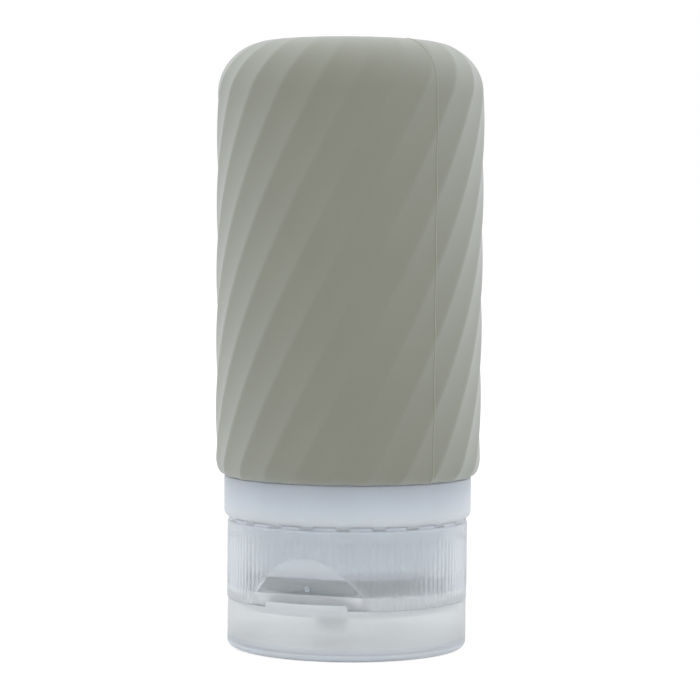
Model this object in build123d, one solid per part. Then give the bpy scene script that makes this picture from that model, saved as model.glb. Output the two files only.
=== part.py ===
# A travel squeeze bottle: a soft body with twisted facets, which stands on its closed flip lid.
# Millimetres. +Z is up and the origin is the centre of the lid's flat face.
# -Y is the lid's thumb side and +Y its hinge side. From the ground up: lid, cap, collar, soft body.
from build123d import *

import os
from math import atan, cos, pi, radians, sin

# Clearances and helpers
seat_gap = 0.05             # between flat faces of two bodies that press on each other
fit_clearance = 0.1         # between pieces of one body that slide together once, at assembly
overrun = 1.0               # how far a cutting tool reaches past the face that it opens
weld = 0.1                  # how far a ridge, lug or boss is sunk into the wall that carries it

# Flip lid
lid_height = 8.55           # from the flat face to the rim
lid_step = 0.1              # how far the lid's side lies inside the cap's
lid_wall = 1.1
lid_plate = 1.3
lid_edge_radius = 1.2
lip_height = 0.95           # the thumb lip's rise above the rim
lip_thickness = 0.8
lip_half_angle = 20.5

# Cap: a threaded inner skirt and a ribbed outer skirt under one deck
cap_height = 13.3           # from the lid's rim to the skirt's open end
cap_wall = 1.3              # of the outer skirt, over the grip ribs
cap_edge_radius = 0.5
cap_floor = 1.3             # between the lid's rim and the pocket between the two skirts
deck_rise = 1.3             # how far the deck stands into the lid
deck_thickness = 1.4
deck_edge_chamfer = 0.3
deck_clearance = 0.2        # between the deck's edge and the lid's wall
inner_skirt_wall = 1.05
inner_skirt_gap = 0.2       # between the inner skirt's end and the collar's support ring
pocket_width = 1.0          # between the two skirts
grip_rib_count = 126
grip_rib_depth = 0.15
plain_band_height = 1.6     # above the ribs, at the skirt's open end

# Thumb scoop: a slanting flat in the front of the cap, deepest at the lid
scoop_half_angle = 31.0     # half of the scoop's mouth, seen from above
scoop_height = 8.5
scoop_wall = 1.1
nub_radius = 0.45
nub_height = 0.3
nub_rise = 3.3              # from the lid's rim to the nub's middle

# Spout and its stopper
spout_offset = 6.8          # from the axis, towards the thumb side
spout_diameter = 6.0
spout_height = 3.5
spout_wall = 0.85
spout_tip = 1.0             # the wall that the orifice goes through
spout_chamfer = 0.4
orifice_lip = 0.65          # what the tip's wall leaves standing round the orifice
pin_base_clearance = 0.06
pin_depth = 0.8             # how far the lid's pin goes into the orifice
pin_taper = 0.12            # what the pin's tip loses in radius
lid_ring_clearance = 0.3    # between the spout and the lid's ring round it
lid_ring_wall = 0.8
lid_ring_overlap = 0.8

# Valve, its retainer and the sealing liner, stacked under the deck
valve_flange_width = 1.35
valve_flange_thickness = 0.8
valve_wall = 0.45
valve_end_gap = 0.15
slit_length = 2.2
slit_width = 0.08
retainer_thickness = 1.0
locating_ring_wall = 0.6
locating_ring_height = 0.6
liner_thickness = 1.0
liner_overhang = 0.2        # past the edge of the bottle's mouth
chamber_clearance = 0.2     # round the retainer and the liner

# Bottle mouth and collar
mouth_diameter = 26.0
neck_wall = 1.8
rim_thickness = 2.7         # of the soft rim that folds over the collar's end
rim_edge_radius = 0.5
collar_neck_wall = 1.5
support_ring_lip = 0.5      # how far the support ring stands out past the cap's inner skirt
support_ring_height = 2.9
collar_step = 0.6           # how far the collar's side stands out past the cap's
collar_height = 7.1
collar_wall = 1.5
collar_web = 1.5
collar_edge_radius = 1.1
collar_top_chamfer = 0.25
gusset_count = 8
gusset_thickness = 1.2
lug_count = 21
lug_width = 2.3
lug_height = 0.45
lug_inset = 0.3             # from the cap's side to the ends of the lugs that stop its skirt

# Screw thread, right-handed
thread_pitch = 3.2
thread_depth = 0.75
thread_root_width = 1.5
thread_crest_width = 0.6
thread_clearance = 0.2      # between a crest and the wall that it faces
thread_flank_gap = 0.12
thread_lead_in = 1.0        # from the collar's end to the middle of its thread's first turn
collar_thread_end_gap = 0.25
cap_thread_end_gap = 0.28
thread_start_angle = 40.0

# Soft body
body_diameter = 46.0        # over the ridges, at the shoulder
body_height = 74.3
body_draft = 0.15           # what the side loses in radius from the shoulder to the base corner
shoulder_radius = 9.3
base_corner_height = 3.4
base_corner_width = 1.6
body_wall = 1.8
cavity_base_radius = 2.6
facet_count = 23
twist_lead = 270.0          # the height that would turn a ridge once round
ridge_height = 65.5         # where a ridge crosses ridge_angle
ridge_angle = -75.3
corner_sections = 4         # the many-sided sections that each stretch is lofted through
wall_sections = 16
shoulder_sections = 8

# Living hinge at the back
hinge_flat = 0.5            # how deep the flat under the strap is cut into the cap
strap_width = 7.6
strap_thickness = 0.7
strap_reach = 4.2           # on each side of the fold
film_thickness = 0.35
film_half_height = 0.5

# Heights that follow, from the ground up
z_shell = lid_height + seat_gap
z_deck = z_shell - deck_rise
z_deck_inside = z_deck + deck_thickness
z_retainer_top = z_deck_inside + retainer_thickness
z_liner = z_retainer_top + seat_gap
z_liner_top = z_liner + liner_thickness
z_rim = z_liner_top + seat_gap
z_rim_top = z_rim + rim_thickness
z_skirt_end = z_shell + cap_height
z_collar = z_skirt_end + seat_gap + lug_height
z_collar_top = z_collar + collar_height
z_body_top = z_collar_top + body_height
z_support_ring = z_collar - support_ring_height
z_inner_skirt_end = z_support_ring - inner_skirt_gap
z_hinge = lid_height + seat_gap / 2

# Radii that follow, from the axis out
mouth_radius = mouth_diameter / 2
liner_bore_radius = mouth_radius - liner_overhang
neck_radius = mouth_radius + neck_wall
collar_bore_radius = neck_radius + fit_clearance
collar_neck_radius = collar_bore_radius + collar_neck_wall
rim_radius = collar_neck_radius - seat_gap
liner_radius = collar_neck_radius
chamber_radius = liner_radius + chamber_clearance
collar_crest_radius = collar_neck_radius + thread_depth
cap_bore_radius = collar_crest_radius + thread_clearance
inner_skirt_radius = cap_bore_radius + inner_skirt_wall
support_ring_radius = inner_skirt_radius + support_ring_lip
cap_inside_radius = inner_skirt_radius + pocket_width
cap_radius = cap_inside_radius + cap_wall
lug_radius = cap_radius - lug_inset
collar_radius = cap_radius + collar_step
lid_radius = cap_radius - lid_step
deck_radius = lid_radius - lid_wall - deck_clearance
body_base_radius = body_diameter / 2 - body_draft
body_foot_radius = body_base_radius - base_corner_width
y_hinge_flat = cap_radius - hinge_flat
y_hinge = y_hinge_flat + strap_thickness
y_spout = -spout_offset

# Round the spout's own axis
sleeve_bore = spout_diameter - 2 * spout_wall
orifice_diameter = sleeve_bore - 2 * orifice_lip
valve_sleeve_diameter = sleeve_bore - 2 * fit_clearance
valve_bore = valve_sleeve_diameter - 2 * valve_wall
valve_flange_diameter = valve_sleeve_diameter + 2 * valve_flange_width
flange_bore = valve_flange_diameter + 2 * fit_clearance
retainer_port = valve_bore - 2 * fit_clearance

# The scoop's flat: its distance from the axis at the lid's rim, and its slope
scoop_mouth = cap_radius * cos(radians(scoop_half_angle))
scoop_depth = cap_radius - scoop_mouth
scoop_slope = atan(scoop_depth / scoop_height)


def disc(radius, low, high, y=0):
    """An upright cylinder between two heights."""
    return Pos(0, y, low) * Cylinder(radius, high - low, align=(Align.CENTER, Align.CENTER, Align.MIN))


def ring(radius, bore_radius, low, high, y=0):
    """A disc with a round hole through it."""
    return disc(radius, low, high, y) - disc(bore_radius, low - overrun, high + overrun, y)


def slab(width, y_from, y_to, low, high):
    """A box, centred on x = 0, between two places along y and two heights."""
    low_corner = (Align.CENTER, Align.MIN, Align.MIN)
    return Pos(0, y_from, low) * Box(width, y_to - y_from, high - low, align=low_corner)


def prism_across(points, width):
    """An outline of (y, z) points, extruded along x to both sides of the axis."""
    return extrude(Plane.YZ * make_face(Polyline(*points, close=True)), width / 2, both=True)


def bottom_edge(solid):
    return solid.edges().group_by(Axis.Z)[0]


def top_edge(solid):
    return solid.edges().group_by(Axis.Z)[-1]


def thread_ridge(root_radius, crest_radius, z_start, z_end):
    """A helical ridge of trapezoid section, from the root radius to the crest radius."""
    path = Helix(thread_pitch, z_end - z_start, root_radius)
    section_plane = Plane(origin=(root_radius, 0, 0), x_dir=(1, 0, 0), z_dir=(0, 1, 0))
    reach = crest_radius - root_radius
    outline = Polyline(
        (0, -thread_root_width / 2),
        (reach, -thread_crest_width / 2),
        (reach, thread_crest_width / 2),
        (0, thread_root_width / 2),
        close=True,
    )
    ridge = sweep(section_plane * make_face(outline), path=path, is_frenet=True)
    return Pos(0, 0, z_start) * Rot(0, 0, thread_start_angle) * ridge


def scoop_tool(inset):
    """All that lies in front of the scoop's flat, moved towards the axis by inset."""
    near = scoop_mouth - inset / cos(scoop_slope)
    far = cap_radius + overrun
    z_far = z_shell + (far - near) / (scoop_depth / scoop_height)
    return prism_across([(-near, z_shell), (-far, z_far), (-far, z_shell)], 2 * cap_radius)


def make_lid():
    shell = fillet(bottom_edge(disc(lid_radius, 0, lid_height)), lid_edge_radius)
    shell -= disc(lid_radius - lid_wall, lid_plate, lid_height + overrun)
    lip = ring(lid_radius, lid_radius - lip_thickness, lid_height - lip_height, lid_height + lip_height)
    side = lid_radius * sin(radians(lip_half_angle))
    front = lid_radius * cos(radians(lip_half_angle))
    wedge = make_face(Polyline((0, 0), (-2 * side, -2 * front), (2 * side, -2 * front), close=True))
    shell += lip & Pos(0, 0, lid_height - lip_height) * extrude(wedge, 2 * lip_height)
    z_spout_tip = z_deck - spout_height
    ring_bore = spout_diameter / 2 + lid_ring_clearance
    shell += ring(ring_bore + lid_ring_wall, ring_bore, lid_plate - weld, z_spout_tip + lid_ring_overlap, y_spout)
    pin_radius = orifice_diameter / 2 - pin_base_clearance
    shell += disc(pin_radius, lid_plate - weld, z_spout_tip, y_spout)
    tip = Cone(pin_radius, pin_radius - pin_taper, pin_depth, align=(Align.CENTER, Align.CENTER, Align.MIN))
    shell += Pos(0, y_spout, z_spout_tip) * tip
    shell -= slab(2 * lid_radius, y_hinge_flat, 2 * lid_radius, z_hinge - strap_reach, lid_height + overrun)
    return shell


def grip_outline():
    """The ribbed outline of the cap: a crest and a root in turn, all the way round."""
    step = pi / grip_rib_count
    points = []
    for i in range(2 * grip_rib_count):
        radius = cap_radius - grip_rib_depth * (i % 2)
        points.append((radius * cos(i * step), radius * sin(i * step)))
    return make_face(Polyline(*points, close=True))


def make_cap():
    z_band = z_skirt_end - plain_band_height
    band = fillet(top_edge(disc(cap_radius, z_band, z_skirt_end)), cap_edge_radius)
    shell = Pos(0, 0, z_shell) * extrude(grip_outline(), z_band - z_shell) + band
    shell += chamfer(bottom_edge(disc(deck_radius, z_deck, z_shell + cap_floor)), deck_edge_chamfer)
    shell -= scoop_tool(0)

    hollow = disc(chamber_radius, z_deck_inside, z_rim_top)
    hollow += disc(cap_bore_radius, z_rim_top - thread_clearance, z_skirt_end + overrun)
    hollow += disc(cap_inside_radius, z_inner_skirt_end, z_skirt_end + overrun)
    hollow += ring(cap_inside_radius, inner_skirt_radius, z_shell + cap_floor, z_skirt_end + overrun)
    shell -= hollow - scoop_tool(scoop_wall)

    flank = thread_root_width - (thread_root_width - thread_crest_width) / 2
    flank -= (thread_root_width - thread_crest_width) / 2 * thread_clearance / thread_depth
    z_thread = z_rim_top + thread_lead_in + flank + thread_flank_gap
    z_thread_end = z_inner_skirt_end - cap_thread_end_gap - thread_root_width / 2
    shell += thread_ridge(cap_bore_radius + weld, cap_bore_radius - thread_depth, z_thread, z_thread_end)

    z_spout_tip = z_deck - spout_height
    shell += chamfer(bottom_edge(disc(spout_diameter / 2, z_spout_tip, z_deck + weld, y_spout)), spout_chamfer)
    shell -= disc(orifice_diameter / 2, z_spout_tip - overrun, z_deck_inside + overrun, y_spout)
    shell -= disc(sleeve_bore / 2, z_spout_tip + spout_tip, z_deck_inside + overrun, y_spout)
    shell -= disc(flange_bore / 2, z_deck_inside - valve_flange_thickness, z_deck_inside + overrun, y_spout)

    y_nub = -(scoop_mouth + nub_rise * scoop_depth / scoop_height)
    nub_plane = Plane(origin=(0, y_nub, z_shell + nub_rise), z_dir=(0, -cos(scoop_slope), -sin(scoop_slope)))
    nub = Cylinder(nub_radius, nub_height + weld, align=(Align.CENTER, Align.CENTER, Align.MIN))
    shell += nub_plane * Pos(0, 0, -weld) * nub
    shell -= slab(2 * cap_radius, y_hinge_flat, 2 * cap_radius, z_shell - overrun, z_hinge + strap_reach)
    return shell


def make_valve():
    z_spout_tip = z_deck - spout_height
    z_end = z_spout_tip + spout_tip + valve_end_gap
    z_flange = z_deck_inside - valve_flange_thickness
    valve = disc(valve_flange_diameter / 2, z_flange, z_deck_inside, y_spout)
    valve += disc(valve_sleeve_diameter / 2, z_end, z_flange + weld, y_spout)
    valve -= disc(valve_bore / 2, z_end + valve_wall, z_deck_inside + overrun, y_spout)
    slit = Box(slit_length, slit_width, 2 * valve_wall)
    return valve - Pos(0, y_spout, z_end) * slit - Pos(0, y_spout, z_end) * Rot(0, 0, 90) * slit


def make_retainer():
    plate = disc(liner_radius, z_deck_inside, z_retainer_top)
    outside = liner_bore_radius - fit_clearance
    z_ring = z_retainer_top + locating_ring_height
    plate += ring(outside, outside - locating_ring_wall, z_retainer_top - weld, z_ring)
    return plate - disc(retainer_port / 2, z_deck_inside - overrun, z_retainer_top + overrun, y_spout)


def make_liner():
    return ring(liner_radius, liner_bore_radius, z_liner, z_liner_top)


def make_hinge():
    low, high = z_hinge - strap_reach, z_hinge + strap_reach
    strap = slab(strap_width, y_hinge_flat, y_hinge, low, high)
    film_face = y_hinge - film_thickness
    notch = [
        (film_face, z_hinge),
        (y_hinge_flat - weld, z_hinge - film_half_height),
        (y_hinge_flat - weld, z_hinge + film_half_height),
    ]
    return strap - prism_across(notch, 2 * strap_width)


def make_collar():
    skirt = fillet(bottom_edge(disc(collar_radius, z_collar, z_collar_top)), collar_edge_radius)
    skirt = chamfer(top_edge(skirt), collar_top_chamfer)
    inside = collar_radius - collar_wall
    pocket = ring(inside, collar_neck_radius, z_collar + collar_web, z_collar_top + overrun)
    gusset_reach = collar_radius - collar_wall / 2
    for i in range(gusset_count):
        gusset = slab(gusset_thickness, 0, gusset_reach, z_collar, z_collar_top)
        pocket -= Rot(0, 0, 360 * (i + 1 / 2) / gusset_count) * gusset
    collar = skirt - pocket
    collar += disc(collar_neck_radius, z_rim_top, z_collar + weld)
    collar += disc(support_ring_radius, z_support_ring, z_collar + weld)
    lug = slab(lug_width, support_ring_radius - weld, lug_radius, z_collar - lug_height, z_collar + weld)
    for i in range(lug_count):
        collar += Rot(0, 0, 360 * i / lug_count) * lug
    z_thread = z_rim_top + thread_lead_in
    z_thread_end = z_support_ring - collar_thread_end_gap - thread_root_width / 2
    collar += thread_ridge(collar_neck_radius - weld, collar_crest_radius, z_thread, z_thread_end)
    return collar - disc(collar_bore_radius, z_rim_top - overrun, z_collar_top + overrun)


def body_outline():
    """(height, ridge radius) from the foot to the edge of the flat top: corner, wall, shoulder."""
    foot = body_foot_radius
    base = body_base_radius
    top = body_diameter / 2
    outline = []
    for i in range(corner_sections):
        turn = pi / 2 * i / corner_sections
        outline.append((z_collar_top + base_corner_height * (1 - cos(turn)), foot + (base - foot) * sin(turn)))
    z_wall = z_collar_top + base_corner_height
    z_shoulder = z_body_top - shoulder_radius
    for i in range(wall_sections):
        share = i / wall_sections
        outline.append((z_wall + (z_shoulder - z_wall) * share, base + (top - base) * share))
    for i in range(shoulder_sections + 1):
        turn = pi / 2 * i / shoulder_sections
        outline.append((z_shoulder + shoulder_radius * sin(turn), top - shoulder_radius * (1 - cos(turn))))
    return outline


def make_body():
    sections = []
    for z, radius in body_outline():
        angle = ridge_angle + 360 * (z - ridge_height) / twist_lead
        sections.append(Pos(0, 0, z) * RegularPolygon(radius, facet_count, rotation=angle))
    body = loft(sections)
    body += disc(neck_radius, z_rim_top - weld, z_collar_top + weld)
    rim = disc(rim_radius, z_rim, z_rim_top)
    body += fillet(rim.edges().filter_by(GeomType.CIRCLE), rim_edge_radius)

    flat_radius = body_base_radius * cos(pi / facet_count)
    cavity = disc(flat_radius - body_wall, z_collar_top + body_wall, z_body_top - body_wall)
    cavity = fillet(top_edge(cavity), shoulder_radius - body_wall)
    cavity = fillet(bottom_edge(cavity), cavity_base_radius)
    cavity += disc(mouth_radius, z_rim - overrun, z_collar_top + 2 * body_wall)
    return body - cavity


def main():
    os.makedirs("parts", exist_ok=True)
    pieces = {
        "flip_lid": make_lid(),
        "living_hinge": make_hinge(),
        "cap_shell": make_cap(),
        "slit_valve": make_valve(),
        "valve_retainer": make_retainer(),
        "sealing_liner": make_liner(),
        "collar_ring": make_collar(),
        "silicone_body": make_body(),
    }
    for name, piece in pieces.items():
        export_step(piece, f"parts/{name}.step")


main()
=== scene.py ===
import bmesh
import bpy
import numpy as np
from mathutils import Matrix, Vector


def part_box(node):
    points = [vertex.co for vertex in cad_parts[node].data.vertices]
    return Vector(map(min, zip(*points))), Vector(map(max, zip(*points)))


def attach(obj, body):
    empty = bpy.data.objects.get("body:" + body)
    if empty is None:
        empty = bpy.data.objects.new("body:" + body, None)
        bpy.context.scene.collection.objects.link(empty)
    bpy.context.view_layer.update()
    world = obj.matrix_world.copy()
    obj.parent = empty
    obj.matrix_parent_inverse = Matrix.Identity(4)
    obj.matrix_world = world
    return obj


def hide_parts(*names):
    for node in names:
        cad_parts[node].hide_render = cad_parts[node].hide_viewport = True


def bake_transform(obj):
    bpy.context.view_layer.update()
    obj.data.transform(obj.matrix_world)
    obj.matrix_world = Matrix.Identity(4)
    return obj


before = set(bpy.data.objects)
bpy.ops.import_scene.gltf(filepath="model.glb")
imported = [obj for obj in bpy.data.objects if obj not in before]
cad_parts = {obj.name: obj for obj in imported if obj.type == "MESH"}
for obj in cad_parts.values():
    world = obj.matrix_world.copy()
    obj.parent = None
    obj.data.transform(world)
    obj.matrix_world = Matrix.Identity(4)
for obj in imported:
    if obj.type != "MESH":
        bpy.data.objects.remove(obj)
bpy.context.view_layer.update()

mm = 0.001
tau = 2 * np.pi


def boxOf(node):
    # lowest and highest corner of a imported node, in millimetres
    low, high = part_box(node)
    return np.array(low) / mm, np.array(high) / mm


# Shared sizes: what one piece hands on to the next
bodyLow, bodyHigh = boxOf("silicone_body")
collarHigh = boxOf("collar_ring")[1]
shared = {
    "seat": 0.05,            # gap between faces that press on each other
    "slip": 0.02,            # gap between faces that touch, so that no two lie in one plane
    "edge": 0.12,            # small round on moulded edges
    "merge": 0.002,          # points closer than this become one
    "leastCosine": 0.05,     # keeps what is divided by a turn's cosine finite beyond the sides
    "spoutY": -7.3,
    "mouth": 13.0,
    "neck": 14.8,            # of the soft neck, inside the collar
    "collarNeck": 16.4,      # of the threaded neck
    "capRadius": 20.7,
    "lidHeight": 8.55,
    "capHeight": 13.3,
    "deckInside": 8.7,
    "hingeFlat": 20.2,       # y of the flats under the strap
    "strapReach": 4.2,
    "threadPitch": 3.2,
    "threadDepth": 0.75,
    "threadRoot": 1.5,
    "threadCrest": 0.6,
    "threadStart": 40.0,     # in degrees round from +X
    "threadRunOut": 0.06,    # turns over which the ridge rises at its start and sinks at its end
}
shellFoot = shared["lidHeight"] + shared["seat"]
skirtEnd = shellFoot + shared["capHeight"]
hingeHeight = shared["lidHeight"] + shared["seat"] / 2

# Grids


def turns(count, edges=(), gap=0.0005):
    # even column angles round the axis, and a close pair of columns at each edge angle for a crisp step
    even = np.arange(count) * tau / count
    beside = np.concatenate([np.asarray(edges) - gap, np.asarray(edges) + gap]) % tau
    return np.unique(np.round(np.concatenate([even, beside]), decimals=7))


def stack(columns, rows):
    # rows of (radius, height), with y of the axis where it isn't 0, as an array of one value per column
    full = [[np.broadcast_to(value, columns.shape) for value in (*row, 0.0)[:3]] for row in rows]
    return np.array(full, float).transpose(0, 2, 1)


def placed(columns, grid):
    # x = radius cos(turn), y = radius sin(turn) + y of the axis, z = height
    radius, height, axisY = grid[..., 0], grid[..., 1], grid[..., 2]
    return np.stack([radius * np.cos(columns), radius * np.sin(columns) + axisY, height], axis=-1)


def arc(radius, height, size, start, end, steps=3):
    # rows on a round edge: centre (radius, height), swept between two angles of the radius-height plane
    sweep = np.radians(np.linspace(start, end, steps + 1))
    return [(radius + size * np.cos(a), height + size * np.sin(a)) for a in sweep]


def atSpout(rows):
    # the same rows round the spout's axis
    return [(*row, shared["spoutY"]) for row in rows]


def gridFaces(rows, columns, ringed):
    # four-sided faces between neighbours; the columns always close on themselves, the rows if ringed
    row = np.arange(rows if ringed else rows - 1)[:, None]
    column = np.arange(columns)[None, :]
    nextRow, nextColumn = (row + 1) % rows, (column + 1) % columns
    corners = (row * columns + column, row * columns + nextColumn,
               nextRow * columns + nextColumn, nextRow * columns + column)
    return np.stack(np.broadcast_arrays(*corners), axis=-1).reshape(-1, 4)


def fanFaces(row, pole, columns, flip):
    # three-sided faces from one row of points to a pole
    here = np.arange(columns)
    beside = (here + 1) % columns
    ends = (beside, here) if flip else (here, beside)
    return np.stack([ends[0] + row, ends[1] + row, np.full(columns, pole)], axis=-1)


def addObject(name, data):
    # a new object in the scene
    item = bpy.data.objects.new(name, data)
    bpy.context.scene.collection.objects.link(item)
    return item


def solidOf(name, parts, sharpAngle=32, finish=None):
    # parts are (points, ringed): a ringed grid closes on its own rows, any other gets a pole at each end;
    # finish says for the first part's faces, row by row, which of the piece's materials each takes
    points, faces, offset = [], [], 0
    for grid, ringed in parts:
        rows, columns = grid.shape[:2]
        count = rows * columns
        points.append(grid.reshape(-1, 3))
        faces += (gridFaces(rows, columns, ringed) + offset).tolist()
        if not ringed:
            points.append(np.array([grid[0].mean(axis=0), grid[-1].mean(axis=0)]))
            faces += fanFaces(offset, offset + count, columns, True).tolist()
            faces += fanFaces(offset + count - columns, offset + count + 1, columns, False).tolist()
            count += 2
        offset += count
    mesh = bpy.data.meshes.new(name)
    mesh.from_pydata((np.concatenate(points) * mm).tolist(), [], faces)
    if finish is not None:
        taken = np.zeros(len(faces), np.int32)
        taken[:finish.size] = finish.ravel()
        mesh.polygons.foreach_set("material_index", taken)
    merged = bmesh.new()
    merged.from_mesh(mesh)
    bmesh.ops.remove_doubles(merged, verts=merged.verts, dist=shared["merge"] * mm)
    if merged.calc_volume(signed=True) < 0:
        bmesh.ops.reverse_faces(merged, faces=merged.faces)
    merged.to_mesh(mesh)
    merged.free()
    mesh.shade_smooth()
    mesh.set_sharp_from_angle(angle=np.radians(sharpAngle))
    return addObject(name, mesh)


def fit(piece, body, finishNames, slotName, *nodes):
    # the piece's finishes, the body that it moves with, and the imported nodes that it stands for
    for finishName in finishNames:
        piece.data.materials.append(finishes[finishName])
    if body:
        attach(piece, body)
    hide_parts(*nodes)


def smoothStep(value, low, high):
    # 0 below low, 1 above high, an S-curve between
    share = np.clip((value - low) / (high - low), 0, 1)
    return share * share * (3 - 2 * share)


def softMin(a, b, width):
    # the smaller of two radii, rounded over where they cross
    return (a + b - np.sqrt((a - b) ** 2 + width ** 2)) / 2


def threadRidge(columns, height, firstHeight, turnCount):
    # share of the thread's depth at a height: a trapezoid that climbs one pitch a turn
    # and runs out at both ends
    root, crest, pitch = shared["threadRoot"], shared["threadCrest"], shared["threadPitch"]
    ridge = np.zeros(np.broadcast(columns, height).shape)
    for lap in range(int(np.ceil(turnCount)) + 1):
        along = ((columns - np.radians(shared["threadStart"])) % tau) / tau + lap
        away = np.abs(height - firstHeight - pitch * along)
        flank = np.clip((root / 2 - away) / ((root - crest) / 2), 0, 1)
        rise = smoothStep(along, 0, shared["threadRunOut"])
        sink = smoothStep(turnCount - along, 0, shared["threadRunOut"])
        ridge = np.maximum(ridge, flank * (rise * sink))
    return ridge


# Finishes


def newFinish(name):
    # a material, its main shader, and two functions: one adds a node, set or joined, the other links
    material = bpy.data.materials.new(name)
    material.use_nodes = True
    tree = material.node_tree

    def add(kind, inputs=None, **settings):
        node = tree.nodes.new(kind)
        for key, value in settings.items():
            setattr(node, key, value)
        for key, value in (inputs or {}).items():
            if isinstance(value, bpy.types.NodeSocket):
                tree.links.new(value, node.inputs[key])
            else:
                node.inputs[key].default_value = value
        return node

    return material, tree.nodes["Principled BSDF"], add, tree.links.new


def noise(add, perMm, detail=2.0, roughness=0.5):
    # a cloudy value from 0 to 1 with perMm bumps in a millimetre
    place = add("ShaderNodeTexCoord").outputs["Object"]
    inputs = {"Vector": place, "Scale": perMm / mm, "Detail": detail, "Roughness": roughness}
    return add("ShaderNodeTexNoise", inputs).outputs["Fac"]


def spread(add, value, low, high, fromLow=0.3, fromHigh=0.7):
    # a value moved from one span to another
    inputs = {"Value": value, "From Min": fromLow, "From Max": fromHigh, "To Min": low, "To Max": high}
    return add("ShaderNodeMapRange", inputs).outputs["Result"]


def toned(add, colour, factor):
    # a colour made lighter or darker by a factor that changes over the surface
    return add("ShaderNodeVectorMath", {0: colour, "Scale": factor}, operation="SCALE").outputs["Vector"]


def cloudTone(add, cloud, look):
    # a factor round 1 that follows the clouds
    return spread(add, cloud, 1 - look["toneSpread"], 1 + look["toneSpread"])


def addSkin(shader, add, link, cloud, look):
    # roughness that follows the clouds, and fine grain
    low, high = look["roughness"] - look["roughSpread"], look["roughness"] + look["roughSpread"]
    link(spread(add, cloud, low, high), shader.inputs["Roughness"])
    bump = {"Height": noise(add, look["grainPerMm"]), "Strength": look["grainStrength"],
            "Distance": look["grainHeight"] * mm}
    link(add("ShaderNodeBump", bump).outputs["Normal"], shader.inputs["Normal"])
    shader.inputs["IOR"].default_value = look["ior"]


siliconeLook = {
    "colour": (0.160, 0.164, 0.118, 1),
    "cloudPerMm": 0.09,
    "toneSpread": 0.03,       # cloudy lighter and darker places
    "lint": (0.40, 0.40, 0.36, 1),
    "lintPerMm": 1.7,
    "lintSpan": (0.64, 0.78),  # where the fleck noise starts to show lint, and where it shows most
    "lintShare": 0.16,
    "roughness": 0.55,
    "roughSpread": 0.05,
    "sheen": 0.44,
    "sheenRoughness": 0.75,
    "sheenTint": (0.90, 0.95, 1.0, 1),
    "grainPerMm": 5.0,
    "grainHeight": 0.012,
    "grainStrength": 0.35,
    "ior": 1.41,
    "seamAngle": -30.5,       # the mould's parting line, over the top to the other side
    "seamWidth": 0.34,
    "seamHighlight": 1.35,         # painted highlight: the parting line's tone is this many times paler
    "seamCore": 0.6,          # share of the width where the painted highlight is strongest
}


def siliconeFinish():
    # matte silicone: skin grain, faint clouds of tone, a little lint, a powdery sheen and a painted
    # highlight along the mould's parting line
    look = siliconeLook
    material, shader, add, link = newFinish("softSilicone")
    cloud = noise(add, look["cloudPerMm"], detail=3.0)
    fleck = noise(add, look["lintPerMm"], detail=5.0, roughness=0.7)
    lint = spread(add, fleck, 0.0, look["lintShare"], *look["lintSpan"])
    colour = add("ShaderNodeMix", {"Factor": lint}, data_type="RGBA")
    link(toned(add, look["colour"][:3], cloudTone(add, cloud, look)), colour.inputs["A"])
    colour.inputs["B"].default_value = look["lint"]
    # how far a point is from the plane of the mould's parting line, in metres
    turn = np.radians(look["seamAngle"])
    across = {0: add("ShaderNodeTexCoord").outputs["Object"], 1: (-np.sin(turn), np.cos(turn), 0)}
    aside = add("ShaderNodeVectorMath", across, operation="DOT_PRODUCT").outputs["Value"]
    away = add("ShaderNodeMath", {0: aside}, operation="ABSOLUTE").outputs["Value"]
    width = look["seamWidth"] / 2 * mm
    # painted highlight: the tone is made paler along the parting line, palest in its core
    paintedShading = spread(add, away, look["seamHighlight"], 1.0, width * look["seamCore"], width)
    link(toned(add, colour.outputs["Result"], paintedShading), shader.inputs["Base Color"])
    addSkin(shader, add, link, cloud, look)
    shader.inputs["Sheen Weight"].default_value = look["sheen"]
    shader.inputs["Sheen Roughness"].default_value = look["sheenRoughness"]
    shader.inputs["Sheen Tint"].default_value = look["sheenTint"]
    return material


def plasticFinish(name, look):
    # moulded plastic: clouds of tone, a satin skin with fine grain, milky or see-through by its clear
    # share, and, where the look asks for it, a painted shading that changes with height
    material, shader, add, link = newFinish(name)
    cloud = noise(add, look["cloudPerMm"])
    tone = cloudTone(add, cloud, look)
    if "paintedShading" in look:
        # painted light and shade: the tone is scaled by a factor that changes from the look's painted
        # shading factor at one height to 1 at another
        place = add("ShaderNodeSeparateXYZ", {0: add("ShaderNodeTexCoord").outputs["Object"]})
        rise = spread(add, place.outputs["Z"], look["paintedShading"], 1.0, *(np.array(look["paintedShadingHeights"]) * mm))
        tone = add("ShaderNodeMath", {0: tone, 1: rise}, operation="MULTIPLY").outputs["Value"]
    link(toned(add, look["colour"][:3], tone), shader.inputs["Base Color"])
    addSkin(shader, add, link, cloud, look)
    shader.inputs["Transmission Weight"].default_value = look["clear"]
    shader.inputs["Subsurface Weight"].default_value = look["scatter"]
    shader.inputs["Subsurface Radius"].default_value = (1, 1, 1)
    shader.inputs["Subsurface Scale"].default_value = look["scatterReach"] * mm
    return material


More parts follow.
